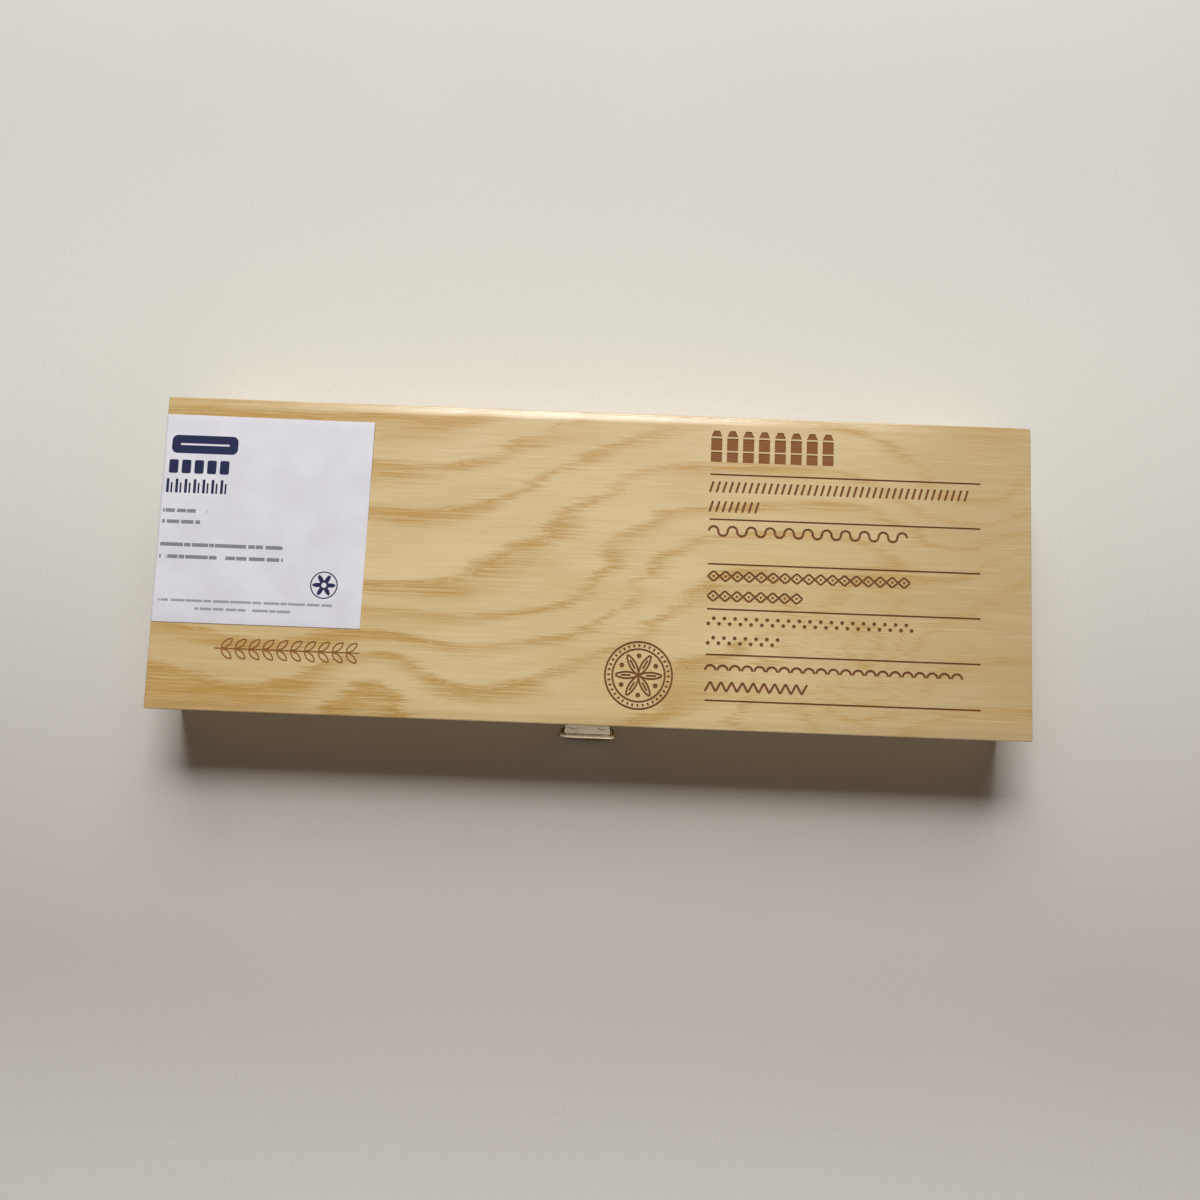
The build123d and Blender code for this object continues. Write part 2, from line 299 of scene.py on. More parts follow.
def veneer(name, rings_over, engraved=False):
    """Plywood: a flame-figured face veneer, plies that show on the sides, and satin lacquer."""
    finish = Finish(name, Coat_Roughness=0.12)
    x, y, z = finish.place()
    u = x - panel_low.x
    v = panel_high.y - y
    band, streaks, fibres = flame_figure(finish, u, v, rings_over)
    tone = finish.noise(u / 60, v / 16, 21.0, detail=2.0).rise(0.25, 0.75)
    hair = finish.noise(u / 16, v / 0.16, 5.0, detail=3.0, roughness=0.65)
    colour = finish.mix(tone, pale_wood, warm_wood)
    if engraved:
        warm_corner = u.rise(110, 10) * v.rise(50, 100) * 0.5
        # Painted shade: the lid's colour darkens towards its right end and, less, towards its rear edge.
        painted_shade_right_and_rear = u.rise(180, 280).most(v.rise(60, 0) * 0.45) * 0.58
        streaky_edge = v.rise(7, 1) * u.rise(110, 70) * fibres * 0.6
        colour = finish.mix(warm_corner, colour, amber_wood)
        colour = finish.mix(painted_shade_right_and_rear, colour, painted_shade_wood)
        colour = finish.mix(streaky_edge, colour, late_wood)
    colour = finish.mix(band, colour, late_wood)
    lines = finish.noise(u / 42, v / 0.75, 52.0, detail=2.0)
    dark_hair = (hair.rise(0.5, 0.75) * 0.3).most(lines.rise(0.55, 0.75) * 0.22)
    colour = finish.mix(dark_hair, colour, late_wood)
    pale_hair = (hair.rise(0.5, 0.28) * 0.35).most(lines.rise(0.45, 0.25) * 0.3)
    colour = finish.mix(pale_hair, colour, silky_wood)
    flecks = finish.noise(u / 9, v / 0.22, 41.0, detail=1.0).rise(0.68, 0.76)
    colour = finish.mix(flecks * (band * 0.6 + 0.3), colour, fleck_wood)
    low, high = (panel_low.z, panel_high.z) if engraved else (0.0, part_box("bottom_panel")[1][2] / MM)
    colour = with_edge_plies(finish, x, y, z, low, high, colour)

    # The long edges were sanded a little round, and handling has polished the rear one
    sanded_width, sanded_depth = 3.2, 0.3
    sanded = (panel_depth / 2 - abs(y)).rise(0, sanded_width) * sanded_depth
    height = hair * 0.025 + streaks * 0.015 + sanded
    roughness = hair.rise(0.2, 0.8, 0.36, 0.5) * v.rise(0.5, 4.5, 0.45, 1.0)
    lacquer = tone * 0.1 + 0.4
    if engraved:
        burn, burnt_colour = burns(finish, x, y, z, high)
        colour = finish.mix(burn, colour, burnt_colour)
        roughness = roughness + burn * 0.35
        lacquer = lacquer * (1 - burn)
    finish.wire(
        Base_Color=colour,
        Roughness=roughness,
        Coat_Weight=lacquer,
        Normal=finish.bump(height, MM),
    )
    return finish.material


def solid_wood(name, lengthwise, middle, seed):
    """A sawn softwood board: growth rings round a pith beside and below it, and end grain on its ends."""
    finish = Finish(name, Coat_Weight=0.15, Coat_Roughness=0.25)
    x, y, z = finish.place()
    along, across = (x, y) if lengthwise else (y, x)
    ring_spacing = 2.1
    pith_beside, pith_below = 34.0 + 2 * seed, 30.0
    drift = finish.noise(along / 90, seed, detail=1.0)
    from_pith = across - (middle - pith_beside) + drift * 8
    away = (from_pith**2 + (z + pith_below + drift * 6) ** 2) ** 0.5
    wobble = finish.noise(along / 45, across / 6, z / 6, detail=2.0)
    turn = (away / ring_spacing + wobble * 0.9).math("FRACT")
    band = turn.rise(0.25, 0.9) * turn.rise(1.0, 0.92)
    ends = abs(finish.facing()[0 if lengthwise else 1]).rise(0.6, 0.8)
    hair = finish.noise(along / 14, across / 0.2, z / 0.2, detail=3.0, roughness=0.65)
    pores = finish.noise(along / 0.3, across / 0.22, z / 0.22, detail=2.0)
    tone = finish.noise(along / 50, across / 9, z / 9 + seed, detail=2.0)
    colour = finish.mix(tone.rise(0.3, 0.7), pale_wood, warm_wood)
    colour = finish.mix(band * 0.6, colour, late_wood)
    colour = finish.mix(hair.rise(0.5, 0.75) * 0.3, colour, late_wood)
    end_colour = finish.mix(band * 0.6 + pores * 0.4, end_grain, dark_end_grain)
    colour = finish.mix(ends * 0.55, colour, end_colour)
    grain_height = hair * (1 - ends) + pores * ends
    finish.wire(
        Base_Color=colour,
        Roughness=0.4 + ends * 0.2 + hair * 0.08,
        Normal=finish.bump(grain_height, 0.05 * MM),
    )
    return finish.material


# ---------------------------------------------------------------- metal, foam, paper


def nickel(name):
    """Nickel plate on steel: softly polished, with hazy patches, fine drawn lines and a few dull spots."""
    finish = Finish(name, Metallic=1.0)
    x, y, z = finish.place()
    haze = finish.noise(x / 5.0, y / 5.0, z / 5.0, detail=2.0)
    drawn = finish.noise(x / 4.0, y / 0.12, z / 0.12, detail=2.0)
    spots = finish.specks(x / 2.2, y / 2.2, z / 2.2).rise(0.05, 0.1, 1.0, 0.0)
    bright, hazy, dull = paint(182, 172, 151), paint(167, 155, 132), paint(132, 120, 100)
    colour = finish.mix(haze.rise(0.3, 0.7), bright, hazy)
    colour = finish.mix(spots * 0.35, colour, dull)
    roughness = haze.rise(0.3, 0.7, 0.2, 0.27) + drawn.rise(0.55, 0.85) * 0.07
    finish.wire(Base_Color=colour, Roughness=roughness, Normal=finish.bump(drawn, 0.002 * MM))
    return finish.material


def soft_foam(name):
    """Pale grey matt foam, with small and large open pores darkened by painted shade, and faint patches."""
    finish = Finish(name)
    x, y, z = finish.place()
    small, large = 0.55, 1.4
    cells = finish.specks(x / small, y / small, z / small)
    large_cells = finish.specks(x / large, y / large, z / large)
    patch = finish.noise(x / 9, y / 9, z / 9, detail=3.0)
    colour = finish.mix(patch.rise(0.2, 0.8), paint(204, 204, 201), paint(196, 196, 194))
    # Painted shade: the open pores are darkened, standing in for the shade inside the cells.
    pores = cells.rise(0.28, 0.05) * 0.5 + large_cells.rise(0.12, 0.02) * 0.5
    colour = finish.mix(pores, colour, paint(140, 140, 138))
    pore_bump = finish.bump(cells + large_cells, 0.22 * MM)
    finish.wire(Base_Color=colour, Roughness=0.86 + patch * 0.1, Normal=pore_bump)
    return finish.material


# ---------------------------------------------------------------- making pieces


def finished(shape, name, body, finish, stands_for=(), crisp_above=32):
    """Turns a bmesh into a piece with its finish, body, material slot and the CAD nodes it stands for."""
    mesh = bpy.data.meshes.new(name)
    shape.to_mesh(mesh)
    shape.free()
    mesh.shade_smooth()
    mesh.set_sharp_from_angle(angle=math.radians(crisp_above))
    piece = bpy.data.objects.new(name, mesh)
    scene.collection.objects.link(piece)
    mesh.materials.append(finish)
    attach(piece, body)
    if stands_for:
        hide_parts(*stands_for)
    return piece


def block(low, high):
    """A closed box between two corners in millimetres."""
    low, high = Vector(low) * MM, Vector(high) * MM
    shape = bmesh.new()
    bmesh.ops.create_cube(shape, size=1)
    bmesh.ops.scale(shape, vec=high - low, verts=shape.verts)
    bmesh.ops.translate(shape, vec=(low + high) / 2, verts=shape.verts)
    return shape


def round_edges(shape, edges, radius, segments):
    bmesh.ops.bevel(
        shape,
        geom=edges,
        offset=radius * MM,
        offset_type="OFFSET",
        affect="EDGES",
        segments=segments,
        profile=0.5,
        material=-1,
    )


def uprights(shape):
    return [edge for edge in shape.edges if abs(edge.verts[0].co.z - edge.verts[1].co.z) > tiny]


def edges_at(shape, height):
    return [edge for edge in shape.edges if all(abs(end.co.z - height * MM) < tiny for end in edge.verts)]


def rounded_slab(low, high, corner, rims, segments=6):
    """A slab with round upright corners. Rims are pairs of a height and the radius of the edges there."""
    slab = block(low, high)
    round_edges(slab, uprights(slab), corner, segments)
    for height, radius in rims:
        round_edges(slab, edges_at(slab, height), radius, segments)
    return slab


def pour(shape, into):
    """Adds one bmesh to another."""
    carried = bpy.data.meshes.new("carried")
    shape.to_mesh(carried)
    shape.free()
    into.from_mesh(carried)
    bpy.data.meshes.remove(carried)


def cut(piece, cutters):
    """Takes the cutters out of a piece, then throws them away."""
    mesh = bpy.data.meshes.new("cutters")
    bmesh.ops.recalc_face_normals(cutters, faces=cutters.faces)
    cutters.to_mesh(mesh)
    cutters.free()
    tool = bpy.data.objects.new("cutters", mesh)
    scene.collection.objects.link(tool)
    knife = piece.modifiers.new("knife", "BOOLEAN")
    knife.operation = "DIFFERENCE"
    knife.solver = "EXACT"
    knife.use_self = True
    knife.object = tool
    scene.view_layers[0].update()
    result = bpy.data.meshes.new_from_object(piece.evaluated_get(bpy.context.evaluated_depsgraph_get()))
    piece.modifiers.remove(knife)
    old = piece.data
    piece.data = result
    result.name = piece.name
    bpy.data.meshes.remove(old)
    bpy.data.objects.remove(tool)
    bpy.data.meshes.remove(mesh)


def soften(piece, width, segments=2, weld=False):
    """Eases a piece's hard edges, and first joins the loose triangles of a CAD mesh where weld is set."""
    if weld:
        join = piece.modifiers.new("weld", "WELD")
        join.merge_threshold = tiny
    ease = piece.modifiers.new("ease", "BEVEL")
    ease.width = width * MM
    ease.segments = segments
    ease.limit_method = "ANGLE"
    ease.angle_limit = math.radians(40)
    ease.use_clamp_overlap = True
    keep_flat(piece)


def keep_flat(piece):
    """Flat faces shade flat up to their round edges."""
    flat = piece.modifiers.new("flat", "WEIGHTED_NORMAL")
    flat.keep_sharp = True


# ---------------------------------------------------------------- engraving

# Places and widths on the lid in millimetres, u along it and v across it from its rear left corner
rule_width = 0.55
rule_start, rule_end = 176.5, 263.6
rule_rows = (19.1, 33.8, 48.3, 62.8, 77.3, 91.8)
stroke_width = 0.75
cutter_top = 1.0


def on_panel(u, v):
    """A place on the lid's top."""
    return Vector((panel_low.x + u, panel_high.y - v, panel_high.z))


def heading(degrees):
    """The level direction at an angle from the lid's length."""
    return Vector((math.cos(math.radians(degrees)), math.sin(math.radians(degrees)), 0))


def stroke(cutters, start, end, width, depth=engraving_depth):
    """A straight groove between two places, nearly round at its ends."""
    run = end - start
    half_run, half_width = run.length / 2, width / 2
    bar = block((-half_run, -half_width, -depth), (half_run, half_width, cutter_top))
    round_edges(bar, uprights(bar), half_width * 0.8, 2)
    turn = Matrix.Rotation(math.atan2(run.y, run.x), 4, "Z")
    bar.transform(Matrix.Translation((start + end) / 2 * MM) @ turn)
    pour(bar, cutters)


def arc(cutters, centre, radius, start, sweep, width, steps=12, depth=engraving_depth):
    """A groove along part of a circle, or all of it."""
    bend = bmesh.new()
    low, high = panel_high.z - depth, panel_high.z + cutter_top
    corners = [(-width / 2, low), (width / 2, low), (width / 2, high), (-width / 2, high)]
    section = bend.faces.new([
        bend.verts.new(Vector((centre.x + radius + across, centre.y, up)) * MM) for across, up in corners
    ])
    middle = Vector((centre.x, centre.y, 0)) * MM
    first_turn = Matrix.Rotation(math.radians(start), 4, "Z")
    bmesh.ops.rotate(bend, cent=middle, matrix=first_turn, verts=bend.verts)
    whole = abs(sweep) >= 360
    bmesh.ops.spin(
        bend,
        geom=[section, *section.edges, *section.verts],
        cent=middle,
        axis=(0, 0, 1),
        angle=math.radians(sweep),
        steps=steps,
        use_merge=whole,
    )
    if whole:
        inner = [face for face in bend.faces if all(len(edge.link_faces) > 2 for edge in face.edges)]
        bmesh.ops.delete(bend, geom=inner, context="FACES_ONLY")
    bmesh.ops.remove_doubles(bend, verts=bend.verts, dist=tiny)
    bmesh.ops.recalc_face_normals(bend, faces=bend.faces)
    pour(bend, cutters)


def pit(cutters, centre, radius):
    """A small round hollow, a little narrower at its floor."""
    plug = bmesh.new()
    bmesh.ops.create_cone(
        plug,
        cap_ends=True,
        segments=12,
        radius1=radius * 0.8 * MM,
        radius2=radius * MM,
        depth=(engraving_depth + cutter_top) * MM,
    )
    bmesh.ops.translate(
        plug,
        vec=(centre + Vector((0, 0, (cutter_top - engraving_depth) / 2))) * MM,
        verts=plug.verts,
    )
    pour(plug, cutters)


def engrave_rules(cutters):
    for row in rule_rows:
        stroke(cutters, on_panel(rule_start, row), on_panel(rule_end, row), rule_width)


def engrave_sticks(cutters):
    """A row of pastel sticks above the rules, each with a worn tip, a sleeve and an end."""
    count, pitch, width = 8, 5.15, 3.6
    tip_row, shoulder_row, sleeve_row, end_row, foot_row = 4.6, 6.6, 7.1, 11.2, 15.0
    gap, stick_depth, tip_taper = 0.45, 0.2, 0.5
    for number in range(count):
        u = rule_start + width / 2 + number * pitch
        for top, foot in ((tip_row, shoulder_row), (sleeve_row, end_row), (end_row + gap, foot_row)):
            half = (foot - top) / 2
            bar = block((-width / 2, -half, -stick_depth), (width / 2, half, cutter_top))
            if top == tip_row:
                far = [point for point in bar.verts if point.co.y > 0]
                bmesh.ops.scale(bar, vec=(tip_taper, 1, 1), verts=far)
            bar.transform(Matrix.Translation(on_panel(u, (top + foot) / 2) * MM))
            pour(bar, cutters)


def engrave_sprig(cutters):
    """A faint sprig below the slip: a stem with its leaves in pairs."""
    stem_row, stem_start, stem_end = 81.2, 21.0, 67.0
    first_leaf, leaf_pitch, leaf_length, leaf_angle, stalk = 2, 4.4, 4.4, 42, 0.3
    width = 0.45
    stroke(cutters, on_panel(stem_start, stem_row), on_panel(stem_end, stem_row), width, faint_depth)
    bend = leaf_length * 0.7
    half_sweep = math.degrees(math.asin(leaf_length / 2 / bend))
    inset = bend * math.cos(math.radians(half_sweep))
    for number in range(int((stem_end - stem_start) / leaf_pitch)):
        root = on_panel(stem_start + first_leaf + number * leaf_pitch, stem_row)
        for side in (-1, 1):
            lean = side * leaf_angle
            ahead = heading(lean)
            beside = Vector((-ahead.y, ahead.x, 0))
            middle = root + ahead * (leaf_length / 2 + stalk)
            for flank in (-1, 1):
                start = lean + 90 * flank - half_sweep
                centre = middle - beside * (flank * inset)
                arc(cutters, centre, bend, start, 2 * half_sweep, width, steps=8, depth=faint_depth)


def engrave_rosette(cutters):
    """A compass rosette of six veined petals in two rings, with notches between the rings."""
    centre = on_panel(155.5, 84.8)
    outer, inner, petal, line = 10.6, 8.3, 7.6, 0.62
    vein_start, vein_end = 2.4, 5.6
    seed_from_centre, seed_radius = 6.2, 0.95
    notches, ring_to_notch = 36, 0.65
    arc(cutters, centre, outer, 0, 360, line, steps=48)
    arc(cutters, centre, inner, 0, 360, line, steps=40)
    for angle in range(0, 360, 60):
        ray = heading(angle)
        arc(cutters, centre + petal * ray, petal, angle + 122, 116, line, steps=16)
        stroke(cutters, centre + ray * vein_start, centre + ray * vein_end, line)
        pit(cutters, centre + seed_from_centre * heading(angle + 30), seed_radius)
    for number in range(notches):
        ray = heading(number * 360 / notches)
        start, end = inner + ring_to_notch, outer - ring_to_notch
        stroke(cutters, centre + ray * start, centre + ray * end, line)


def hatching(cutters, row, start, end, height):
    """Slanted strokes side by side."""
    slant, pitch = 1.1, 2.1
    u = start
    while u < end:
        stroke(cutters, on_panel(u, row + height / 2), on_panel(u + slant, row - height / 2), stroke_width)
        u += pitch


def lattice(cutters, row, start, end, height):
    """Diamonds in a chain, each with a dot in it."""
    run, line, dot_radius = 1.9, stroke_width * 0.85, 0.45
    u = start
    while u + 2 * run < end:
        left, right = on_panel(u, row), on_panel(u + 2 * run, row)
        for crest in (row - height / 2, row + height / 2):
            middle = on_panel(u + run, crest)
            stroke(cutters, left, middle, line)
            stroke(cutters, middle, right, line)
        pit(cutters, on_panel(u + run, row), dot_radius)
        u += 2 * run


def stippling(cutters, row, start, end, height):
    """Dots, one up and one down."""
    first_dot, pitch, dot_radius = 0.6, 1.7, 0.75
    u = start
    raised = False
    while u < end:
        pit(cutters, on_panel(u + first_dot, row + (-height / 4 if raised else height / 4)), dot_radius)
        raised = not raised
        u += pitch


def waves(cutters, row, start, end, height):
    """One line of half circles, one up and one down."""
    radius = height * 0.42
    u = start + radius
    upward = True
    while u + radius < end:
        arc(cutters, on_panel(u, row), radius, 0 if upward else 180, 180, stroke_width, steps=10)
        upward = not upward
        u += 2 * radius


def zigzag(cutters, row, start, end, height):
    """One line of slanted strokes, one up and one down."""
    run = 1.7
    low, high = row + height / 2, row - height / 2
    u = start
    rising = True
    while u < end:
        first, second = (low, high) if rising else (high, low)
        stroke(cutters, on_panel(u, first), on_panel(u + run, second), stroke_width)
        rising = not rising
        u += run


def scallops(cutters, row, start, end, height):
    """Half circles side by side, all up."""
    radius, gap = height * 0.5, 0.7
    u = start + radius
    while u + radius < end:
        arc(cutters, on_panel(u, row + height / 3), radius, 0, 180, stroke_width, steps=10)
        u += 2 * radius + gap


# Rows of strokes that a pastel stick makes: the kind of stroke, its row, where it ends and how tall it is
swatch_rows = (
    (hatching, 23.2, 260.0, 3.6),
    (hatching, 29.6, 193.0, 3.6),
    (waves, 37.6, 242.0, 3.6),
    (lattice, 52.2, 242.0, 3.4),
    (lattice, 58.6, 208.0, 3.4),
    (stippling, 66.6, 242.0, 3.4),
    (stippling, 72.8, 200.0, 3.4),
    (scallops, 81.2, 261.0, 3.2),
    (zigzag, 87.4, 208.0, 3.2),
)


def lid_panel():
    """The lid's plywood panel, its edges eased, with grooves burnt into its top."""
    corner_radius, rim_radius = 0.9, 0.5
    slab = rounded_slab(panel_low, panel_high, corner_radius, ((panel_high.z, rim_radius),))
    wood = veneer("lid_veneer", lid_rings, engraved=True)
    piece = finished(slab, "lid_panel", "lid", wood, ["top_panel"])
    cutters = bmesh.new()
    engrave_rules(cutters)
    engrave_sticks(cutters)
    engrave_rosette(cutters)
    engrave_sprig(cutters)
    for draw, row, end, height in swatch_rows:
        draw(cutters, row, rule_start, end, height)
    cut(piece, cutters)
    keep_flat(piece)
    return piece


# ---------------------------------------------------------------- foam


def foam_sheet(name, node, body, rims, finish, radius=0.8):
    """A plain sheet in a CAD node's place, with soft edges at its low or high rim."""
    low, high = [Vector(corner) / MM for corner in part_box(node)]
    heights = {"low": low.z, "high": high.z}
    slab = rounded_slab(low, high, radius * 1.6, [(heights[rim], radius) for rim in rims], segments=4)
    piece = finished(slab, name, body, finish, [node])
    keep_flat(piece)
    return piece


def foam_bed(finish):
    """The slotted sheet: a slot with soft lips for each stick."""
    low, high = [Vector(corner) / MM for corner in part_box("foam_grid")]
    slot_count, slot_pitch, slot_width, slot_length, slot_corner = 15, 17.3, 13.0, 72.0, 3.0
    sheet_corner, lip_radius, past = 1.2, 0.7, 1.0
    slab = rounded_slab(low, high, sheet_corner, (), segments=4)
    piece = finished(slab, "foam_bed", "tray", finish, ["foam_grid"])
    cutters = bmesh.new()
    for number in range(slot_count):
        middle = (number - (slot_count - 1) / 2) * slot_pitch
        slot = block(
            (middle - slot_width / 2, -slot_length / 2, low.z - past),
            (middle + slot_width / 2, slot_length / 2, high.z + past),
        )
        round_edges(slot, uprights(slot), slot_corner, 6)
        pour(slot, cutters)
    cut(piece, cutters)
    soften(piece, lip_radius, segments=3)
    return piece


# ---------------------------------------------------------------- paper slip


def printed_paper(name, low, high):
    """White paper with a plain print in navy and grey: a pill, rows of bars and a small rosette."""
    finish = Finish(name, Specular_IOR_Level=0.25)
    x, y, z = finish.place()
    across = x - low.x
    down = high.y - y
    upward = finish.facing()[2].rise(0.4, 0.6)

    def bar(left, top, right, bottom, rounding=0.2):
        """Where a bar is printed, from 0 to 1, its sides counted from the slip's rear left corner."""
        middle_u, middle_v = (left + right) / 2, (top + bottom) / 2
        half_u, half_v = (right - left) / 2 - rounding, (bottom - top) / 2 - rounding
        away_u = (abs(across - middle_u) - half_u).most(0.0)
        away_v = (abs(down - middle_v) - half_v).most(0.0)
        return ((away_u**2 + away_v**2) ** 0.5).rise(rounding + 0.05, rounding - 0.05)

    # A hollow pill, then a row of blocks, then a row of ticks with a short one beside each tall one
    block_count, first_block, block_pitch, block_width = 5, 2.2, 4.1, 3.0
    tick_pairs, first_tick, tick_pitch, tall_width = 7, 1.8, 2.9, 0.9
    navy = bar(2.6, 6.8, 24.0, 12.8, 1.9) - bar(5.4, 9.5, 21.2, 10.1, 0.3)
    for number in range(block_count):
        left = first_block + number * block_pitch
        navy = navy + bar(left, 14.9, left + block_width, 19.4, 0.6)
    for number in range(tick_pairs):
        left = first_tick + number * tick_pitch
        tall = bar(left, 21.2, left + tall_width, 25.8, 0.3)
        short = bar(left + 1.4, 22.4, left + 2.0, 25.8, 0.2)
        navy = navy + tall + short

    # The grey lines are broken at uneven places, which differ from row to row
    row = (down / 3.5).math("ROUND")
    along_line = across / 4.6 + finish.noise(across / 7, row * 7.3, detail=0.0) * 3
    dashes = along_line.math("FRACT").rise(0.1, 0.16)
    lines = bar(1.4, 31.0, 15.6, 32.2) + bar(1.4, 34.6, 13.6, 35.8)
    lines = lines + bar(1.4, 42.0, 40.6, 43.2) + bar(1.4, 45.9, 41.0, 47.1)
    small_lines = bar(2.2, 60.1, 57.6, 60.9) + bar(14.0, 62.6, 45.0, 63.4)
    grey = (lines * 0.95 + small_lines * 0.75) * dashes

    ring_radius, eye_radius = 4.2, 0.8
    from_centre_u = across - 54.6
    from_centre_v = down - 54.0
    radius = (from_centre_u**2 + from_centre_v**2) ** 0.5
    angle = from_centre_v.math("ARCTAN2", from_centre_u)
    petals = 2.6 + (angle * 6).math("COSINE") * 1.1
    rosette = (radius - petals).rise(0.15, -0.15) - (radius - eye_radius).rise(0.1, -0.1)
    rosette = rosette + abs(radius - ring_radius).rise(0.26, 0.14)
    navy = navy + rosette

    fibre = finish.noise(x / 0.5, y / 0.5, z / 0.5, detail=4.0, roughness=0.7)
    cloud = finish.noise(x / 14, y / 14, detail=2.0)
    white, cool_white, fibre_grey = paint(222, 222, 229), paint(213, 212, 221), paint(200, 199, 208)
    grey_ink, navy_ink = paint(70, 74, 92), paint(14, 23, 62)
    colour = finish.mix(cloud.rise(0.3, 0.7), white, cool_white)
    colour = finish.mix(fibre.rise(0.4, 0.7) * 0.2, colour, fibre_grey)
    colour = finish.mix(grey.least(1.0) * upward * 0.8, colour, grey_ink)
    colour = finish.mix(navy.least(1.0) * upward, colour, navy_ink)
    finish.wire(Base_Color=colour, Roughness=0.55 + fibre * 0.15, Normal=finish.bump(fibre, 0.02 * MM))
    return finish.material


def paper_slip():
    """The slip, glued to the lid and folded over its left edge, with one corner a little off the wood."""
    low, high = [Vector(corner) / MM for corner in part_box("paper_label")]
    thickness, edge_radius, glue = 0.2, 0.9, 0.03
    out_of_square, narrowed = 0.9, 0.45
    loose_from_x, loose_from_y, looseness = 0.55, 0.4, 1.6
    under = panel_high.z + glue
    left = panel_low.x - glue
    sheet = bmesh.new()
    ends = [sheet.verts.new(Vector((left, y, low.z)) * MM) for y in (low.y, high.y)]
    edge = sheet.edges.new(ends)
    moved = bmesh.ops.extrude_edge_only(sheet, edges=[edge])["geom"]
    rim = [item for item in moved if isinstance(item, bmesh.types.BMVert)]
    bmesh.ops.translate(sheet, vec=(0, 0, (under - edge_radius - low.z) * MM), verts=rim)
    turning = [item for item in moved if isinstance(item, (bmesh.types.BMVert, bmesh.types.BMEdge))]
    spun = bmesh.ops.spin(
        sheet,
        geom=turning,
        cent=Vector((left + edge_radius, 0, under - edge_radius)) * MM,
        axis=(0, 1, 0),
        angle=math.radians(90),
        steps=6,
    )["geom_last"]
    last_edges = [item for item in spun if isinstance(item, bmesh.types.BMEdge)]
    flat = bmesh.ops.extrude_edge_only(sheet, edges=last_edges)["geom"]
    tail = [item for item in flat if isinstance(item, bmesh.types.BMVert)]
    bmesh.ops.translate(sheet, vec=((high.x - left - edge_radius) * MM, 0, 0), verts=tail)
    bmesh.ops.remove_doubles(sheet, verts=sheet.verts, dist=tiny)
    long_edges = [edge for edge in sheet.edges if edge.calc_length() > 8 * MM]
    bmesh.ops.subdivide_edges(sheet, edges=long_edges, cuts=28, use_grid_fill=True)

    # The slip was cut a little out of square, and its free corner stands off the wood
    for point in sheet.verts:
        x, y, z = point.co / MM
        share_x = (x - left) / (high.x - left)
        share_y = (y - low.y) / (high.y - low.y)
        lift = max(0.0, share_x - loose_from_x) * max(0.0, share_y - loose_from_y) * looseness
        if z > under - tiny:
            point.co.z += lift * MM
        point.co.x -= out_of_square * (1 - share_y) * max(0.0, share_x) * MM
        point.co.y -= narrowed * share_x * share_y * MM
    bmesh.ops.recalc_face_normals(sheet, faces=sheet.faces)
    if sum(face.normal.z * face.calc_area() for face in sheet.faces) < 0:
        bmesh.ops.reverse_faces(sheet, faces=sheet.faces)
    paper = printed_paper("slip_paper", low, high)
    piece = finished(sheet, "paper_slip", "lid", paper, ["paper_label"])
    wall = piece.modifiers.new("paper", "SOLIDIFY")
    wall.thickness = thickness * MM
    wall.offset = 1.0
    keep_flat(piece)
    return piece


# ---------------------------------------------------------------- nails and screws


def domed_head(radius, height):
    """The round head of a nail or screw, looking up, its flat back at height zero."""
    sides, rings = 28, 5
    dome_radius = (radius**2 + height**2) / (2 * height)
    head = bmesh.new()
    outer = head.verts.new((radius * MM, 0, 0))
    arc_angle = math.asin(radius / dome_radius)
    centre = Vector((0, 0, (height - dome_radius) * MM))
    bmesh.ops.spin(
        head, geom=[outer], cent=centre, axis=(0, 1, 0), angle=-arc_angle * 0.999, steps=rings
    )
    profile = [*head.verts, *head.edges]
    bmesh.ops.spin(
        head, geom=profile, cent=(0, 0, 0), axis=(0, 0, 1), angle=math.tau, steps=sides, use_merge=True
    )
    bmesh.ops.remove_doubles(head, verts=head.verts, dist=tiny)
    bmesh.ops.holes_fill(head, edges=[edge for edge in head.edges if edge.is_boundary], sides=0)
    bmesh.ops.recalc_face_normals(head, faces=head.faces)
    return head


def fasteners(name, body, finish, places, facing, radius, height, slotted=False):
    """Nail or screw heads on a plate: places on its face, and the way they look."""
    rng = random.Random(name)
    half_slot = 0.2
    together = bmesh.new()
    cutters = bmesh.new()
    turn = Vector((0, 0, 1)).rotation_difference(facing).to_matrix().to_4x4()
    for place in places:
        twist = Matrix.Rotation(rng.uniform(0, math.pi), 4, "Z")
        spot = Matrix.Translation(Vector(place) * MM) @ turn @ twist
        head = domed_head(radius, height)
        head.transform(spot)
        pour(head, together)
        if slotted:
            low, high = (-radius * 1.2, -half_slot, height * 0.35), (radius * 1.2, half_slot, height * 2)
            slot = block(low, high)
            slot.transform(spot)
            pour(slot, cutters)
    piece = finished(together, name, body, finish, crisp_above=40)
    if slotted:
        cut(piece, cutters)
    else:
        cutters.free()
    return piece


# ---------------------------------------------------------------- putting it together

metal = nickel("nickel_plate")
foam = soft_foam("grey_foam")

lid_panel()
foam_sheet("foam_under_sheet", "foam_base", "tray", ("high",), foam)
foam_bed(foam)
foam_sheet("foam_lid_pad", "foam_pad", "lid", ("low",), foam, radius=1.4)
paper_slip()

arris = 0.12
sides = ("front", "rear", "left", "right")
board_names = [f"{part}_{side}_board" for side in sides for part in ("tray", "lid")]
for seed, name in enumerate(board_names):
    low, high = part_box(name)
    lengthwise = high[0] - low[0] > high[1] - low[1]
    middle = (low[1] + high[1] if lengthwise else low[0] + high[0]) / 2 / MM
    board = nodes[name]
    board.data.materials.clear()
    board.data.materials.append(solid_wood(name.replace("board", "wood"), lengthwise, middle, seed))
    soften(board, arris, weld=True)

base_board = nodes["bottom_panel"]
base_board.data.materials.clear()
base_board.data.materials.append(veneer("base_veneer", plain_rings))
soften(base_board, arris, weld=True)

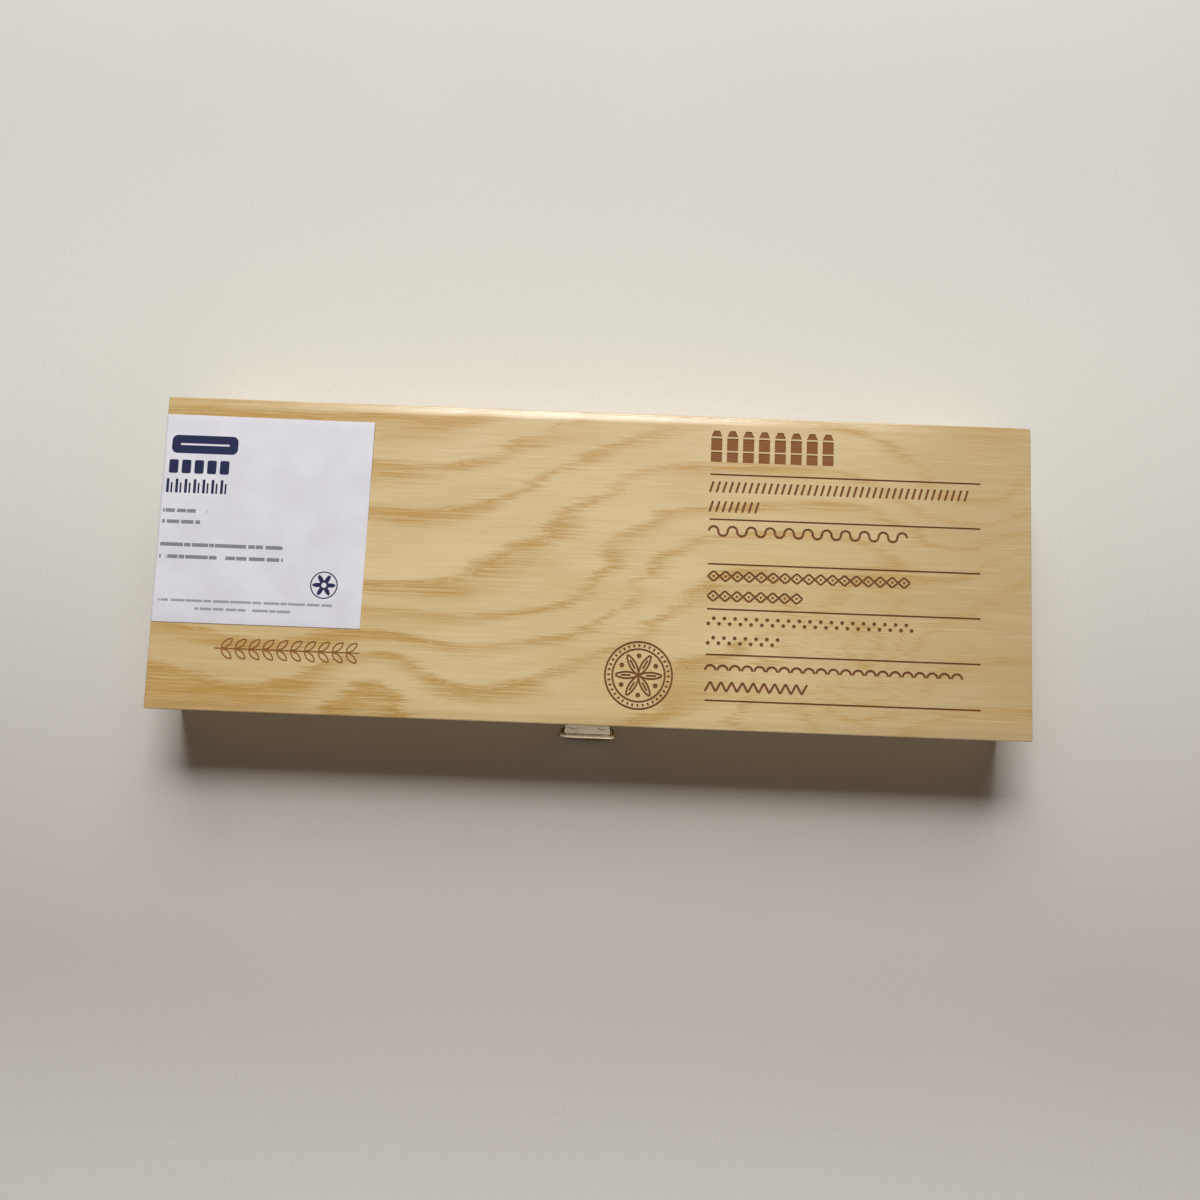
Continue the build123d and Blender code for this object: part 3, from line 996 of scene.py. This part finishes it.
metal_nodes = [name for name in nodes if name.startswith(("hinge_", "latch_"))]
plates = [name for name in metal_nodes if name.endswith(("_leaf", "_base", "_catch", "_lever"))]
for name in metal_nodes:
    nodes[name].data.materials.clear()
    nodes[name].data.materials.append(metal)
    if name in plates:
        soften(nodes[name], 0.1, weld=True)

# The heads sit on the faces of the plates, over the holes that the CAD gives these
plate_thickness, leaf_thickness = 0.8, 0.8
nail_radius, nail_height = 1.3, 0.6
nail_margin, base_nail_spread, catch_nail_spread = 1.8, 9.2, 9.0
latch_base_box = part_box("latch_base")
base_foot, base_top = latch_base_box[0][2] / MM, latch_base_box[1][2] / MM
catch_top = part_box("latch_catch")[1][2] / MM
plate_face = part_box("tray_front_board")[0][1] / MM - plate_thickness
forwards, backwards = Vector((0, -1, 0)), Vector((0, 1, 0))
base_places = [(side * base_nail_spread / 2, plate_face, base_top - nail_margin) for side in (-1, 1)]
base_places.append((0, plate_face, base_foot + nail_margin))
catch_places = [(side * catch_nail_spread / 2, plate_face, catch_top - nail_margin) for side in (-1, 1)]
fasteners("latch_base_nails", "tray", metal, base_places, forwards, nail_radius, nail_height)
fasteners("latch_catch_nails", "lid", metal, catch_places, forwards, nail_radius, nail_height)

# The screws stand above and below the hinge pins, which lie where the lid meets the tray
pin_height = 19.15
screw_radius, screw_height = 1.7, 0.7
screw_drop, screw_spread, hinge_inset = 5.6, 16.0, 52.0
leaf_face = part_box("tray_rear_board")[1][1] / MM + leaf_thickness
hinge_centres = [side * (panel_length / 2 - hinge_inset) for side in (-1, 1)]
screw_columns = [centre + step * screw_spread / 2 for centre in hinge_centres for step in (-1, 1)]
for name, body, side in (("tray_hinge_screws", "tray", -1), ("lid_hinge_screws", "lid", 1)):
    places = [(x, leaf_face, pin_height + side * screw_drop) for x in screw_columns]
    fasteners(name, body, metal, places, backwards, screw_radius, screw_height, slotted=True)


# ---------------------------------------------------------------- table, light and camera


def table_top():
    """A plain pale table with painted light and shade: darkest just in front of the case, lighter beside it
    and further in front, and a little darker far behind.
    """
    reach = 0.85
    before, beside, behind, nearest = (199, 195, 190), (217, 216, 209), (203, 203, 198), (226, 224, 220)
    finish = Finish("table_paper", Specular_IOR_Level=0.0)
    x, y, z = finish.place()
    grain = finish.noise(x / 1.2, y / 1.2, detail=4.0, roughness=0.65)
    cloud = finish.noise(x / 60, y / 60, 4.0, detail=2.0)
    # Painted light and shade: the table's colour changes with distance in front of and behind the case.
    colour = finish.mix(y.rise(-130, 60), paint(*before), paint(*beside))
    colour = finish.mix(y.rise(60, 190), colour, paint(*behind))
    colour = finish.mix(y.rise(-125, -230), colour, paint(*nearest))
    colour = finish.mix(cloud.rise(0.3, 0.7) * 0.12, colour, paint(216, 213, 206))
    colour = finish.mix(grain.rise(0.4, 0.75) * 0.16, colour, paint(180, 175, 167))
    finish.wire(Base_Color=colour, Roughness=0.7 + grain * 0.1, Normal=finish.bump(grain, 0.06 * MM))
    sheet = bmesh.new()
    bmesh.ops.create_grid(sheet, x_segments=1, y_segments=1, size=reach)
    mesh = bpy.data.meshes.new("table")
    sheet.to_mesh(mesh)
    sheet.free()
    table = bpy.data.objects.new("table", mesh)
    scene.collection.objects.link(table)
    mesh.materials.append(finish.material)


def lamp(name, place, size, power, colour):
    """An area lamp that looks at the case, its place and size in metres and its power in watts."""
    aim = Vector((0, 0, 0.02))
    light = bpy.data.lights.new(name, "AREA")
    light.shape = "RECTANGLE"
    light.size, light.size_y = size
    light.energy = power
    light.color = colour
    holder = bpy.data.objects.new(name, light)
    scene.collection.objects.link(holder)
    holder.location = place
    holder.rotation_mode = "QUATERNION"
    holder.rotation_quaternion = (aim - Vector(place)).to_track_quat("-Z", "Y")


def lit_room():
    """Soft light from all round. The camera, gloss and glass see a pale wall in its place."""
    warm_light, light_strength, pale_wall = (1.0, 0.78, 0.63, 1), 0.075, paint(226, 222, 216)
    world = bpy.data.worlds.new("room")
    world.use_nodes = True
    tree = world.node_tree
    light = tree.nodes["Background"]
    light.inputs["Color"].default_value = warm_light
    light.inputs["Strength"].default_value = light_strength
    wall = tree.nodes.new("ShaderNodeBackground")
    wall.inputs["Color"].default_value = pale_wall
    rays = tree.nodes.new("ShaderNodeLightPath")
    sees_wall = rays.outputs["Is Camera Ray"]
    for ray in ("Is Transmission Ray", "Is Glossy Ray"):
        larger = tree.nodes.new("ShaderNodeMath")
        larger.operation = "MAXIMUM"
        tree.links.new(sees_wall, larger.inputs[0])
        tree.links.new(rays.outputs[ray], larger.inputs[1])
        sees_wall = larger.outputs[0]
    either = tree.nodes.new("ShaderNodeMixShader")
    tree.links.new(sees_wall, either.inputs[0])
    tree.links.new(light.outputs[0], either.inputs[1])
    tree.links.new(wall.outputs[0], either.inputs[2])
    tree.links.new(either.outputs[0], tree.nodes["World Output"].inputs["Surface"])
    scene.world = world


def photo_camera():
    """The photograph's viewpoint: nearly straight above, a little in front and turned by 2 degrees."""
    place = Vector((3.43, -50.63, 381.0))
    camera = bpy.data.cameras.new("camera")
    camera.sensor_width = 36
    camera.lens = 33.1
    camera.clip_start = 0.01
    holder = bpy.data.objects.new("camera", camera)
    scene.collection.objects.link(holder)
    right = Vector((0.9993, 0.0378, 0.0015)).normalized()
    up = Vector((-0.0377, 0.9928, 0.1135)).normalized()
    back = right.cross(up)
    turned = Matrix((right, up, back)).transposed().to_4x4()
    holder.matrix_world = Matrix.Translation(place * MM) @ turned
    scene.camera = holder


window_tint, fill_tint = (1.0, 0.992, 0.98), (1.0, 0.88, 0.78)
table_top()
lamp("window", (-0.04, 0.706, 1.031), (0.55, 0.29), 11.0, window_tint)
lamp("window_low", (-0.02, 0.967, 0.764), (0.9, 0.46), 7.4, window_tint)
lamp("front_fill", (0.25, -1.1, 0.16), (0.8, 0.25), 2.8, fill_tint)
lit_room()
photo_camera()
scene.view_settings.view_transform = "Standard"
